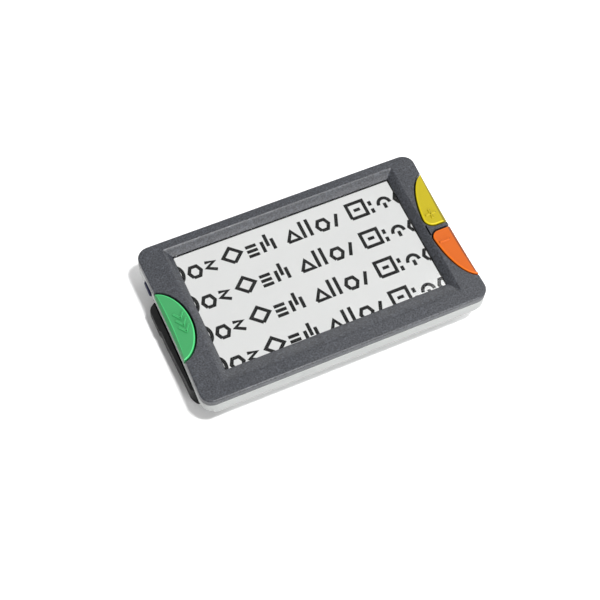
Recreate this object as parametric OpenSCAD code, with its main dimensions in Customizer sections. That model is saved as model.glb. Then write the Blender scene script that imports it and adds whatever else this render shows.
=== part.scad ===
// Hand-held electronic low-vision magnifier: a flat camera with a 4.3 inch screen,
// three large coloured keys, a power key on the left wall and a penknife handle.
// +X runs to the right along the screen, +Y up the screen, +Z out of the screen.
// The origin is on the plane that the rubber feet rest on, under the centre of the body.

/* [Body] */
// Length of the body along X
body_l = 121.2; // [120.6:0.2:122.6]
// Width of the body along Y
body_w = 73.2; // [72.8:0.2:74.4]
// Height of the top face above the feet
body_h = 22; // [21.8:0.1:22.6]
// Height of the joint between rear shell and front bezel
split_z = 18.5; // [18.4:0.05:18.6]
// Radius of the body's upright corners
corner_r = 5.5; // [5:0.25:6.5]
// Wall thickness of the rear shell
wall = 1.8; // [1.6:0.1:1.9]
// Height at which the side walls turn in towards the back
waist_z = 12.2; // [11.8:0.1:12.4]
// Level of the flat back above the feet
back_z = 0.8; // [0.6:0.1:0.9]

/* [Display] */
// Length of the picture area
active_l = 95.04; // [94.5:0.02:95.4]
// Width of the picture area
active_w = 53.86; // [53.4:0.02:54.2]
// Centre of the picture area along X
active_x = 0.25; // [0:0.05:0.4]
// Centre of the picture area along Y
active_y = 2.5; // [2.3:0.1:2.7]
// Depth of the window below the top face
window_d = 3; // [2.9:0.05:3.1]
// Width of the sloped frame beside and above the picture
slope_side = 3; // [2.6:0.1:3.4]
// Width of the sloped frame below the picture
slope_low = 6.2; // [5.4:0.1:6.6]

/* [Keys] */
// How far the keys reach in from the ends of the body
key_reach = 8.8; // [8.4:0.1:9]
// Half length of the green key
green_half = 15.6; // [14.6:0.1:15.8]
// Half length of the pair of keys on the right
pair_half = 25.6; // [24.6:0.1:25.8]
// Gap between a key and the bezel
key_gap = 0.7; // [0.6:0.05:0.8]
// Travel of the three coloured keys
key_travel = 0.6; // [0.4:0.05:0.6]
// Travel of the power key
power_travel = 0.5; // [0.3:0.05:0.5]

/* [Handle] */
// Height of the handle's back above the feet
handle_z0 = 2.4; // [2.2:0.1:3]
// Height of the handle's front face
handle_z1 = 13.6; // [13:0.1:13.6]
// Handle pivot along X
pivot_x = -55.2; // [-55.4:0.1:-55]
// Handle pivot along Y
pivot_y = -21.5; // [-21.8:0.1:-21.2]
// Radius of the pivot screw's shoulder
pivot_r = 2; // [1.8:0.1:2.1]
// Running clearance of the handle on its pivot
pivot_gap = 0.05; // [0.02:0.01:0.09]

/* [Camera] */
// Camera centre along X
cam_x = 32; // [31:0.5:34]
// Camera centre along Y
cam_y = 2; // [0:0.5:4]
// Radius of the camera window
cam_window_r = 12.4; // [12:0.1:12.8]

/* [Power] */
// Length of the battery pack
battery_l = 53; // [50:0.5:53]
// Width of the battery pack
battery_w = 34; // [32:0.5:34]
// Thickness of the battery pack
battery_t = 5.7; // [5:0.1:5.7]
// Bore radius of the charging socket
socket_r = 1.75; // [1.65:0.05:1.85]

/* [Fasteners] */
// Radius of the case screws' shanks
screw_r = 0.95; // [0.8:0.05:0.95]
// Radius of the case screws' heads
screw_head_r = 1.9; // [1.7:0.1:1.9]

/* [Hidden] */
$fn = 48;
gap = 0.05;                              // assembly gap between fixed pieces
eps = 0.01;                              // overlap inside one solid
half_l = body_l / 2;
half_w = body_w / 2;
window_z = body_h - window_d;            // front face of the window
window_t = 1;
window_l = active_l + 4;
window_w = active_w + 4;
opening_l = active_l + 0.6;
opening_w = active_w + 0.6;
lip = 0.5;                               // bezel left below the slope, at the window
panel_top = window_z - window_t - 0.4;
panel_t = 1;
tray_z0 = 15.3;                          // back of the display module
tray_l = 104;
tray_w = 66.8;
tray_y = 0.2;
roof_z = handle_z1 + 0.3;                // ceiling of the handle pocket
roof_t = 1.1;
pocket_r = 9.4;                          // room round the pivot for the handle's end
pocket_wall = 1.2;
pocket_top = 17.8;                       // Y of the pocket's upper end
key_board_z = 15.3;
key_board_t = 1;
key_floor = split_z + key_travel + 0.1;  // underside of a key's outer wall
key_x = 56.2;                            // distance of the key switches from the middle
key_boss_z = 18.35;
green_y = -0.4;
pair_y = -0.7;
yellow_end = 0.9;
orange_end = -1.9;
yellow_sw_y = 12;
orange_sw_y = -13.4;
power_y = 22.8;
power_z = 14.1;
power_l = 6.4;
power_h = 2.8;
board_z = 9.4;
board_t = 1.4;
board_x0 = -40;
board_x1 = 50;
board_half_w = 31;
battery_x0 = -37;
battery_y0 = -19;
battery_z = 3.2;
battery_mid_y = battery_y0 + battery_w / 2;
door_t = 1.6;                            // thickness of the battery door's plate
door_top = back_z + door_t;
door_edge = 1;                           // how far the door's opening stands round the battery
door_tab = 5;                            // end of the door that its screw passes through
door_screw_x = battery_x0 - door_edge - door_tab / 2;
barrel_r = 3.45;                         // camera lens barrel
lens_r = 2.15;
socket_x = 20;
socket_z = 13;
case_posts = [[55.2, 29.8], [55.2, -30.2], [-55.2, 29.8], [-55.2, -30.2]];
post_z = 12.6;                           // where a shell post meets a bezel post
board_posts = [[-37, 27], [46, 27], [-37, -29], [46, -27]];
// Four corner feet, and a pad in the middle of the battery door
foot_spots = [[46, 22], [46, -22], [-38, 22.6], [-38, -24], [0, 0]];
buzzer_spot = [32, -21];
// Rear shell below the waist: [height, how far the wall has come in]
belly = [[waist_z, 0], [8, 2.5], [4, 5], [2, 6.8], [back_z, 8.8]];

dark_grey = "#55585d";
silver = "#c9cbca";
black = "#1d1e20";
board_green = "#1f6b3a";
chip_black = "#202225";
steel = "#a9acb0";
key_green = "#43b46c";
key_yellow = "#d9c92c";
key_orange = "#e8762a";
key_blue = "#1c2f6b";

// ---------- shared shapes ----------

// Rectangle with true round corners, centred
module round_rect(l, w, r) {
    square([l - 2 * r, w], center = true);
    square([l, w - 2 * r], center = true);
    for (x = [-1, 1], y = [-1, 1])
        translate([x * (l / 2 - r), y * (w / 2 - r)]) circle(r);
}

// Slab of the body's outline, brought in by inset
module body_slab(z0, z1, inset) {
    translate([0, 0, z0])
        linear_extrude(z1 - z0)
            round_rect(body_l - 2 * inset, body_w - 2 * inset, max(corner_r - inset * 0.35, 1));
}

// Box from one corner to the opposite one
module span(a, b) {
    translate(a) cube(b - a);
}

module tube(r_out, r_in, z0, z1) {
    translate([0, 0, z0])
        difference() {
            cylinder(r = r_out, h = z1 - z0);
            translate([0, 0, -1]) cylinder(r = r_in, h = z1 - z0 + 2);
        }
}

module rod(r, z0, z1) {
    translate([0, 0, z0]) cylinder(r = r, h = z1 - z0);
}

module at(points) {
    for (p = points) translate([p[0], p[1], 0]) children();
}

// How far a half-moon key reaches in at distance d from its middle
function moon(reach, half, d) = reach * pow(max(1 - pow(d / half, 2), 0), 0.6);

// The part of that reach that a rounded end corner takes away at distance s from the end
function corner_cut(r, s) = s >= r ? 0 : r * (1 - sqrt(max(1 - pow(1 - s / r, 2), 0)));

// Half-moon against the right end of the body, from y0 to y1, grown by g.
// end_r rounds the corner at the square end, which faces y = square_y.
module moon_plan(half, mid_y, y0, y1, end_r, square_y, g) {
    steps = 36;
    reach = key_reach + g;
    r = end_r > 0 ? end_r + g : 0;
    curve = [for (i = [0:steps])
        let (y = y0 - g + (y1 - y0 + 2 * g) * i / steps,
             x = moon(reach, half + g, y - mid_y) - corner_cut(r, abs(y - square_y)))
        [half_l - max(x, 0), y]];
    polygon(concat(curve, [[half_l + 1, y1 + g], [half_l + 1, y0 - g]]));
}

module green_plan(g) {
    mirror([1, 0])
        moon_plan(green_half, green_y, green_y - green_half, green_y + green_half, 0, 0, g);
}

module yellow_plan(g) {
    moon_plan(pair_half, pair_y, yellow_end, pair_y + pair_half, 4.2, yellow_end - g, g);
}

module orange_plan(g) {
    moon_plan(pair_half, pair_y, pair_y - pair_half, orange_end, 3.4, orange_end + g, g);
}

// ---------- case ----------

// Frustum of the sloped frame round the picture
module picture_slope() {
    hull() {
        span([active_x - opening_l / 2, active_y - opening_w / 2, window_z + lip],
             [active_x + opening_l / 2, active_y + opening_w / 2, window_z + lip + eps]);
        span([active_x - opening_l / 2 - slope_side, active_y - opening_w / 2 - slope_low, body_h],
             [active_x + opening_l / 2 + slope_side, active_y + opening_w / 2 + slope_side,
              body_h + eps]);
    }
}

module front_bezel() {
    crest = 0.8;
    color(dark_grey) {
        difference() {
            hull() {
                body_slab(split_z, body_h - crest, 0);
                body_slab(body_h - crest, body_h, crest);
            }
            picture_slope();
            span([active_x - opening_l / 2, active_y - opening_w / 2, split_z - 1],
                 [active_x + opening_l / 2, active_y + opening_w / 2, window_z + lip + eps]);
            span([active_x - window_l / 2 - gap, active_y - window_w / 2 - gap, split_z - 1],
                 [active_x + window_l / 2 + gap, active_y + window_w / 2 + gap, window_z]);
            translate([0, 0, split_z - 1]) linear_extrude(body_h) green_plan(key_gap);
            translate([0, 0, split_z - 1]) linear_extrude(body_h) yellow_plan(key_gap);
            translate([0, 0, split_z - 1]) linear_extrude(body_h) orange_plan(key_gap);
        }
        at([for (i = [0:2]) case_posts[i]]) tube(2.4, screw_r + gap, post_z + gap, split_z + eps);
        at([case_posts[3]]) tube(2.4, screw_r + gap, roof_z + roof_t + gap, split_z + eps);
    }
}

// Everything inside the body's skin; inset brings the skin in
module body_form(inset, z0, z1) {
    body_slab(waist_z - eps, z1, inset);
    hull()
        for (b = belly)
            let (z = max(b[0], z0))
            body_slab(z - eps, z, b[1] + inset);
}

// Ground that the handle sweeps between folded and fully open, grown by g
module pocket_plan(g) {
    translate([pivot_x, pivot_y]) {
        circle(pocket_r + g);
        rotate(-45) translate([-g, -60]) square([pocket_r + 2 * g, 60]);
        polygon([[-60, -60], [0, 0], [0, pocket_top - pivot_y + g],
                 [-60, pocket_top - pivot_y + g]]);
        translate([-1, 0]) square([pocket_r + 1 + g, pocket_top - pivot_y + g]);
    }
}

module rear_shell() {
    cam_ring = cam_window_r + 1.4;
    ledge_y = 19;                        // ledges and pads that carry the key boards
    pads_y = [-9, 15];
    color(silver) {
        difference() {
            union() {
                difference() {
                    body_form(0, back_z, split_z);
                    body_form(wall, back_z + 1.6, split_z + 1);
                }
                // Walls and ceiling of the handle pocket
                intersection() {
                    body_form(wall / 2, back_z, roof_z + roof_t);
                    linear_extrude(roof_z + roof_t) pocket_plan(pocket_wall);
                }
                // Posts for the case screws and for the main board
                intersection() {
                    union() {
                        at([for (i = [0:2]) case_posts[i]]) rod(3.2, back_z, post_z);
                        at(board_posts) rod(2.3, back_z, board_z - gap);
                    }
                    body_form(wall / 2, back_z, split_z);
                }
                // Boss for the handle's pivot screw
                translate([pivot_x, pivot_y, 0]) rod(3.1, roof_z, 17.4);
                // Camera well
                translate([cam_x, cam_y, 0]) tube(cam_ring, 11, back_z, 4.4);
                // Ledges for the right key board
                for (y = [-ledge_y, ledge_y])
                    span([56.4, y - 2, waist_z], [half_l - wall / 2, y + 2, key_board_z - gap]);
                // Pads for the left key board
                for (y = pads_y)
                    span([-57.6, y - 1.5, roof_z + roof_t - 1], [-54.6, y + 1.5, key_board_z - gap]);
                // Rim round the battery door, and the boss for its screw
                span([battery_x0 - door_tab - 1.2, battery_y0 - 2.2, back_z],
                     [battery_x0 + battery_l + 2.2, battery_y0 + battery_w + 2.2, door_top + 1]);
                translate([door_screw_x, battery_mid_y, 0]) rod(2.2, door_top, 8);
            }
            // Room for the handle
            translate([0, 0, -1]) linear_extrude(roof_z + 1) pocket_plan(0);
            // Room for the battery and its door
            span([battery_x0 - door_edge, battery_y0 - door_edge, -1],
                 [battery_x0 + battery_l + door_edge, battery_y0 + battery_w + door_edge, 7]);
            span([battery_x0 - door_edge - door_tab, battery_y0 - door_edge, -1],
                 [battery_x0, battery_y0 + battery_w + door_edge, door_top]);
            // Case screw holes and their counterbores
            at([for (i = [0:2]) case_posts[i]]) {
                rod(screw_r + 0.15, -1, split_z);
                rod(screw_head_r + 0.2, -1, 9);
            }
            at([case_posts[3]]) {
                rod(screw_r + 0.15, -1, roof_z + roof_t + 1);
                rod(screw_head_r + 0.2, -1, roof_z + 0.5);
            }
            // Pilot hole of the pivot screw, and of the board screws
            translate([pivot_x, pivot_y, 0]) rod(1.5 + gap, -1, 18);
            at(board_posts) rod(screw_r + gap, 4, board_z + 1);
            // Window recess and opening of the camera
            translate([cam_x, cam_y, 0]) {
                rod(cam_window_r + 0.1, -1, back_z + 1.2);
                rod(11, -1, 5);
            }
            // Power key, charging socket and buzzer holes
            translate([-half_l - 1, power_y, power_z])
                rotate([90, 0, 90]) linear_extrude(5) round_rect(power_l + 0.5, power_h + 0.5, 1.6);
            translate([socket_x, half_w - 5, socket_z]) rotate([-90, 0, 0]) cylinder(r = 3.2, h = 10);
            for (x = [-3:3:3])
                translate([buzzer_spot[0] + x, buzzer_spot[1], 0]) rod(0.6, 0, 5);
            // Pilot hole of the battery door's screw
            translate([door_screw_x, battery_mid_y, 0]) rod(screw_r + gap, -1, 7.4);
        }
    }
}

module camera_window() {
    color("#9fb4bd", 0.5)
        translate([cam_x, cam_y, 0]) rod(cam_window_r, back_z + 0.15, back_z + 1.2 - 0.02);
}

module battery_door() {
    slack = 0.2;
    x0 = battery_x0 - door_edge - door_tab + slack;
    x1 = battery_x0 + battery_l + door_edge - slack;
    y0 = battery_y0 - door_edge + slack;
    y1 = battery_y0 + battery_w + door_edge - slack;
    color(silver)
        difference() {
            union() {
                translate([(x0 + x1) / 2, (y0 + y1) / 2, back_z])
                    linear_extrude(door_t) round_rect(x1 - x0, y1 - y0, 0.8);
                // Stiffening ribs
                for (y = [y0 + 9, y1 - 9])
                    span([x0 + 10, y - 0.5, door_top - eps], [x1 - 6, y + 0.5, battery_z - 0.3]);
            }
            // Screw hole, and grip grooves
            translate([door_screw_x, battery_mid_y, 0]) {
                rod(screw_r + 0.15, -1, 5);
                rod(screw_head_r + 0.15, -1, back_z + 0.8);
            }
            for (i = [0:3])
                span([x1 - 5 - 2 * i, (y0 + y1) / 2 - 6, 0],
                     [x1 - 4 - 2 * i, (y0 + y1) / 2 + 6, back_z + 0.5]);
        }
}

// ---------- display ----------

module display_window() {
    color("#dfe6ea", 0.4)
        translate([active_x, active_y, window_z - window_t])
            linear_extrude(window_t - 0.02) round_rect(window_l, window_w, 1);
}

module window_gasket() {
    color(black)
        translate([active_x, active_y, panel_top + 0.02])
            linear_extrude(window_z - window_t - panel_top - 0.04)
                difference() {
                    round_rect(window_l, window_w, 1);
                    square([active_l + 1, active_w + 1], center = true);
                }
}

module lcd_panel() {
    color("#e9ebec")
        span([active_x - tray_l / 2 + 0.7, tray_y - tray_w / 2 + 0.7, panel_top - panel_t],
             [active_x + tray_l / 2 - 0.7, tray_y + tray_w / 2 - 0.7, panel_top]);
}

module lcd_backlight() {
    rim = 0.6;
    color(steel)
        difference() {
            span([active_x - tray_l / 2, tray_y - tray_w / 2, tray_z0],
                 [active_x + tray_l / 2, tray_y + tray_w / 2, panel_top - 0.1]);
            span([active_x - tray_l / 2 + rim, tray_y - tray_w / 2 + rim, panel_top - panel_t - gap],
                 [active_x + tray_l / 2 - rim, tray_y + tray_w / 2 - rim, panel_top + 1]);
        }
}

// Flat strip that folds down from the module's lower edge to the main board
module lcd_flex_cable() {
    half = 13;
    film = 0.15;
    y_out = tray_y - tray_w / 2 - 0.1;
    z_low = board_z + board_t + gap;
    color("#b8742a") {
        span([-half, y_out - film, z_low], [half, y_out, tray_z0 + 0.6]);
        span([-half, y_out - eps, z_low], [half, -22, z_low + film]);
    }
}

// ---------- electronics ----------

module main_board() {
    color(board_green)
        difference() {
            span([board_x0, -board_half_w, board_z], [board_x1, board_half_w, board_z + board_t]);
            at(board_posts) rod(screw_r + 0.15, 0, 20);
        }
}

module board_components() {
    z = board_z + board_t + gap;
    color(chip_black) {
        span([-4, -8, z], [12, 8, z + 1.4]);
        span([18, 6, z], [30, 14, z + 1.2]);
        span([18, -6, z], [28, 2, z + 1.2]);
        span([-26, 6, z], [-16, 16, z + 1]);
        span([-26, -12, z], [-18, -4, z + 2.4]);
        span([34, -2, z], [40, 4, z + 2.4]);
        span([-13, -22, z], [13, -18, z + 1.6]);
        for (i = [0:5]) span([-30 + 3 * i, 24, z], [-28.6 + 3 * i, 25, z + 0.7]);
        for (i = [0:4]) span([16 + 3 * i, -13, z], [17.4 + 3 * i, -12, z + 0.7]);
    }
}

module buzzer() {
    color(chip_black)
        translate([buzzer_spot[0], buzzer_spot[1], 0])
            tube(4.5, 0.9, board_z + board_t + gap, board_z + board_t + 3);
}

module charge_socket() {
    z0 = board_z + board_t + gap;
    barrel_y = tray_y + tray_w / 2 + 0.1;
    color("#2b2d31")
        difference() {
            union() {
                span([socket_x - 3, 23, z0], [socket_x + 3, barrel_y + eps, tray_z0 - 0.1]);
                translate([socket_x, barrel_y, socket_z]) rotate([-90, 0, 0])
                    cylinder(r = 2.9, h = half_w - 0.4 - barrel_y);
            }
            translate([socket_x, half_w - 12.4, socket_z]) rotate([-90, 0, 0])
                cylinder(r = socket_r, h = 20);
        }
}

module battery_pack() {
    color("#3a4a66")
        translate([battery_x0 + battery_l / 2, battery_mid_y, battery_z])
            linear_extrude(battery_t) round_rect(battery_l - 0.4, battery_w - 0.4, 1.4);
}

module battery_foam() {
    color("#4a4a4a")
        span([battery_x0 + 8, battery_y0 + 6, battery_z + battery_t + 0.02],
             [battery_x0 + 40, battery_y0 + 26, board_z - 0.02]);
}

module battery_contacts() {
    x = battery_x0 + battery_l + 0.1;
    color("#d4b25a")
        for (i = [-1:1]) {
            y = battery_mid_y + 5 * i;
            span([x, y - 1, 5.2], [x + 0.3, y + 1, board_z - gap]);
            span([x, y - 1, board_z - 0.4], [x + 3.2, y + 1, board_z - gap]);
        }
}

// ---------- camera ----------

module image_sensor() {
    half = 3.5;
    color(chip_black)
        span([cam_x - half, cam_y - half, board_z - 0.9],
             [cam_x + half, cam_y + half, board_z - gap]);
}

module lens_holder() {
    base_z = 7;
    bore_z = 8.2;                        // where the round bore opens into the sensor's room
    color(black)
        translate([cam_x, cam_y, 0])
            difference() {
                union() {
                    span([-6, -6, base_z], [6, 6, board_z - gap]);
                    rod(4.4, 5.4, base_z + eps);
                }
                rod(barrel_r + gap, 5, bore_z);
                span([-4, -4, bore_z - eps], [4, 4, board_z]);
            }
}

module lens_barrel() {
    color(black) translate([cam_x, cam_y, 0]) tube(barrel_r, lens_r + gap, 3.4, 8);
}

module objective_lens() {
    color("#8fa9c4", 0.6)
        translate([cam_x, cam_y, 0]) rod(lens_r, 3.9, 5.3);
}

module led_board() {
    color("#e8e8e4") translate([cam_x, cam_y, 0]) tube(12, 4.8, 4.45, 5.05);
}

module illumination_leds() {
    color("#f4e9b0")
        translate([cam_x, cam_y, 0])
            for (a = [45:90:315])
                rotate(a) span([6.4, -1.4, 3.6], [9.2, 1.4, 4.43]);
}

// ---------- key boards and switches ----------

module left_key_board() {
    color(board_green)
        difference() {
            span([-58.2, -12, key_board_z], [-53.4, 27, key_board_z + key_board_t]);
            // Room for the power key
            span([-59, power_y - 4.2, key_board_z - 1], [-57.1, power_y + 4.2, key_board_z + 2]);
        }
}

module right_key_board() {
    color(board_green)
        span([53.4, -21, key_board_z], [58.2, 21, key_board_z + key_board_t]);
}

// Flat lead from a key board's inner edge, at x, down and inward to the main board
module key_cable(x_board, x_down, x_end, y0, y1) {
    film = 0.12;
    z_high = key_board_z - 0.22;
    z_low = board_z + board_t + gap;
    d = sign(x_end - x_down);
    color("#b8742a") {
        span([min(x_board, x_down), y0, z_high], [max(x_board, x_down) + eps, y1, z_high + film]);
        span([x_down - film / 2, y0, z_low], [x_down + film / 2, y1, z_high + film]);
        span([min(x_down, x_end), y0, z_low], [max(x_down, x_end), y1, z_low + film]);
    }
}

module left_key_cable() {
    key_cable(-54.2, -43.6, -36, -3, 5);
}

module right_key_cable() {
    key_cable(53.8, 52.8, 44, -5, 5);
}

// Small switch body on a key board, under a coloured key
module key_switch(x, y) {
    color(chip_black)
        translate([x, y, 0]) {
            z = key_board_z + key_board_t + gap;
            difference() {
                span([-1.9, -2.2, z], [1.9, 2.2, 17.6]);
                rod(1.05, z + 0.5, 18);
            }
        }
}

module key_plunger(x, y) {
    color("#d8d8d8")
        translate([x, y, 0]) rod(1, 16.9 + key_travel, key_boss_z - 0.02);
}

module green_switch() { key_switch(-key_x, green_y); }
module yellow_switch() { key_switch(key_x, yellow_sw_y); }
module orange_switch() { key_switch(key_x, orange_sw_y); }
module green_plunger() { key_plunger(-key_x, green_y); }
module yellow_plunger() { key_plunger(key_x, yellow_sw_y); }
module orange_plunger() { key_plunger(key_x, orange_sw_y); }

module power_switch() {
    color(chip_black)
        difference() {
            span([-56.7, power_y - 2.2, power_z - 1.4], [-53.6, power_y + 2.2, key_board_z - gap]);
            translate([-58, power_y, power_z]) rotate([0, 90, 0])
                cylinder(r = 0.75, h = 2.4 + power_travel);
        }
}

module power_plunger() {
    color("#d8d8d8")
        translate([-58.05, power_y, power_z]) rotate([0, 90, 0]) cylinder(r = 0.7, h = 2.3);
}

// ---------- keys ----------

// Body of a coloured key at the right end: the plan's plug, its boss and its sloped outer edge,
// which reaches out to x = side and falls by drop on the way
module key_solid(sw_y, side, drop) {
    difference() {
        intersection() {
            translate([0, 0, key_floor]) linear_extrude(body_h - key_floor) children();
            span([0, -50, 0], [side, 50, 40]);
        }
        // Slope between the key's face and its outer wall
        translate([side, 0, body_h - drop]) rotate([0, -atan2(1.4, drop), 0])
            span([0, -50, -1], [5, 50, 9]);
        // Hollow underside
        span([54.6, sw_y - 4.4, 17], [58.6, sw_y + 4.4, body_h - 1.8]);
    }
    translate([key_x, sw_y, 0]) rod(1.5, key_boss_z, body_h - 1);
}

// Raised bar on a key's face, between two points
module key_bar(a, b, w) {
    d = b - a;
    translate([a[0], a[1], body_h - eps])
        rotate(atan2(d[1], d[0]))
            translate([-w / 2, -w / 2, 0]) cube([norm(d) + w, w, 0.25]);
}

// Hook that keeps a key from lifting out of the bezel
module key_hook(y, dir) {
    x0 = 56.6;
    span([x0, min(y, y + dir * 3.4), 17.4], [x0 + 1.8, max(y, y + dir * 3.4), 18.2]);
    span([x0, min(y, y + dir * 1.4), 17.4], [x0 + 1.8, max(y, y + dir * 1.4), key_floor + 1]);
}

module green_key() {
    color(key_green) {
        mirror([1, 0, 0]) {
            key_solid(green_y, half_l + 0.3, 1.7) mirror([1, 0]) green_plan(0);
            key_hook(green_y + 12, 1);
            key_hook(green_y - 12, -1);
        }
        // Three nested chevrons that point down the screen
        for (i = [0:2], side = [-1, 1])
            let (tip = [-55.5, 1.3 - 3.05 * i])
            key_bar(tip, tip + [1.75 * side, 2.3], 0.6);
    }
}

module yellow_key() {
    color(key_yellow) {
        key_solid(yellow_sw_y, half_l, 0.5) yellow_plan(0);
        key_hook(yellow_sw_y + 8.4, 1);
        key_bar([54.1, 6.1], [57.7, 6.1], 0.8);
        key_bar([55.9, 4.3], [55.9, 7.9], 0.8);
    }
}

module orange_key() {
    color(key_orange) {
        key_solid(orange_sw_y, half_l, 0.5) orange_plan(0);
        key_hook(orange_sw_y - 8.4, -1);
        key_bar([53.6, -7.5], [57.2, -7.5], 0.8);
    }
}

module power_key() {
    color(key_blue) {
        translate([-half_l - 0.6, power_y, power_z])
            rotate([90, 0, 90]) linear_extrude(3.1) round_rect(power_l, power_h, 1.35);
        span([-58.7, power_y - 3.5, power_z - 1.6], [-58.1, power_y + 3.5, power_z + 1.1]);
    }
}

// ---------- handle ----------

module handle_plan() {
    low = -27.3;
    top = 16.2;
    x_in = -46.6;
    x_out = -62.1;
    r_out = 4.6;
    r_in = 6.5;
    // Bar with a finger tab at its upper end, with a small step down to the outer edge.
    // The inner upper corner is cut off so that it clears the pocket as the handle turns.
    polygon([[x_in, low + r_in], [x_in, top - 4], [x_in - 3, top],
             [x_out - 0.5, top], [x_out - 1.2, top - 0.7],
             [x_out - 1.2, 5.8], [x_out - 0.7, 4.4], [x_out - 0.7, 0], [x_out, -19],
             [x_out, low + r_in]]);
    // Round lower end
    translate([x_out + r_out, low]) square([x_in - x_out - r_out - r_in, r_in + 1]);
    translate([x_out, low + r_out]) square([r_out + 1, r_in - r_out + 1]);
    translate([x_out + r_out, low + r_out]) circle(r_out);
    translate([x_in - r_in, low + r_in]) circle(r_in);
}

module handle() {
    color(black)
        difference() {
            translate([0, 0, handle_z0]) linear_extrude(handle_z1 - handle_z0) handle_plan();
            // Slopes along the outer edges
            translate([-61.2, 0, handle_z1]) rotate([0, -60, 0]) span([-12, -40, 0], [0, 40, 6]);
            translate([-60.2, 0, handle_z0]) rotate([0, 45, 0]) span([-9, -40, -6], [0, 40, 0]);
            // Finger groove along the back
            span([-56, -6, handle_z0 - 1], [-50, 10, handle_z0 + 1.6]);
            // Bore and seat of the pivot screw
            translate([pivot_x, pivot_y, 0]) {
                rod(pivot_r + pivot_gap, 0, 20);
                rod(3.6, 0, handle_z0 + 2.6);
            }
        }
}

module handle_pivot_screw() {
    head_z = handle_z0 + 0.6;
    color(steel)
        translate([pivot_x, pivot_y, 0])
            difference() {
                union() {
                    rod(3.3, head_z, head_z + 1.8);
                    rod(pivot_r, head_z + 1, roof_z - 0.02);
                    rod(1.5, roof_z - 1, 17);
                }
                translate([-2.6, -0.4, head_z - 1]) cube([5.2, 0.8, 1.8]);
                translate([-0.4, -2.6, head_z - 1]) cube([0.8, 5.2, 1.8]);
            }
}

module handle_wave_washer() {
    color(steel) translate([pivot_x, pivot_y, 0]) tube(3.6, pivot_r + 0.15, roof_z - 0.24, roof_z - 0.04);
}

// ---------- fasteners and feet ----------

// Cross-head screw with its head down, from z0
module screw(z0, length) {
    head_h = 1.3;
    difference() {
        union() {
            rod(screw_head_r, z0, z0 + head_h);
            rod(screw_r, z0, z0 + head_h + length);
        }
        translate([-1.2, -0.25, z0 - 1]) cube([2.4, 0.5, 1.7]);
        translate([-0.25, -1.2, z0 - 1]) cube([0.5, 2.4, 1.7]);
    }
}

module case_screws() {
    color(steel) {
        at([for (i = [0:2]) case_posts[i]]) screw(9 - 1.3, 8.4);
        at([case_posts[3]]) difference() {
            union() {
                rod(screw_head_r, roof_z + 0.02, roof_z + 0.48);
                rod(screw_r, roof_z + 0.02, roof_z + 3.4);
            }
            translate([-1.2, -0.25, roof_z - 1]) cube([2.4, 0.5, 1.2]);
        }
    }
}

module board_screws() {
    color(steel)
        at(board_posts) difference() {
            union() {
                rod(screw_head_r, board_z + board_t + 0.02, board_z + board_t + 1.2);
                rod(screw_r, board_z - 4.6, board_z + board_t + 1);
            }
            translate([-1.2, -0.25, board_z + board_t + 0.7]) cube([2.4, 0.5, 2]);
            translate([-0.25, -1.2, board_z + board_t + 0.7]) cube([0.5, 2.4, 2]);
        }
}

module battery_door_screw() {
    color(steel)
        translate([door_screw_x, battery_mid_y, 0])
            difference() {
                union() {
                    rod(screw_head_r, back_z + 0.05, back_z + 0.78);
                    rod(screw_r, back_z + 0.05, 7);
                }
                translate([-1.3, -0.25, 0]) cube([2.6, 0.5, back_z + 0.4]);
            }
}

module rubber_feet() {
    color("#2a2b2d")
        at(foot_spots)
            rotate_extrude()
                    polygon([[0, 0], [2.6, 0], [3.2, 0.4], [3.2, back_z - 0.01], [0, back_z - 0.01]]);
}

front_bezel();
rear_shell();
display_window();
window_gasket();
lcd_panel();
lcd_backlight();
lcd_flex_cable();
main_board();
board_components();
buzzer();
charge_socket();
battery_pack();
battery_foam();
battery_contacts();
battery_door();
battery_door_screw();
image_sensor();
lens_holder();
lens_barrel();
objective_lens();
camera_window();
led_board();
illumination_leds();
left_key_board();
right_key_board();
left_key_cable();
right_key_cable();
green_switch();
yellow_switch();
orange_switch();
power_switch();
green_plunger();
yellow_plunger();
orange_plunger();
power_plunger();
green_key();
yellow_key();
orange_key();
power_key();
handle();
handle_pivot_screw();
handle_wave_washer();
case_screws();
board_screws();
rubber_feet();
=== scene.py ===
from math import asin, cos, pi, radians, sin, sqrt

import bmesh
import bpy
from mathutils import Matrix, Vector


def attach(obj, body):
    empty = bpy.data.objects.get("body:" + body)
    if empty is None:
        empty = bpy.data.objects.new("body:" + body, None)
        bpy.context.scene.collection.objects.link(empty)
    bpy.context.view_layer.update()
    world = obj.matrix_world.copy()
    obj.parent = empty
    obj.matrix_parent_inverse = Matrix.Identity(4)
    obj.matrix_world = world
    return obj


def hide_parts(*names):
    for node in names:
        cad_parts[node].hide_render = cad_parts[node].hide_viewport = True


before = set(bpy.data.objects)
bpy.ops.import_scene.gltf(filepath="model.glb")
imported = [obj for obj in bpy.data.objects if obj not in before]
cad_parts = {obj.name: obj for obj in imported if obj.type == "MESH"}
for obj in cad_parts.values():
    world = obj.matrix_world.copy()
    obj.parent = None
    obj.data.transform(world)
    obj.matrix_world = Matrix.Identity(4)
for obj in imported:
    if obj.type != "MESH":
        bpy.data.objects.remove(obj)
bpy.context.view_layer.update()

SCENE = bpy.context.scene
MM = 0.001

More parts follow.
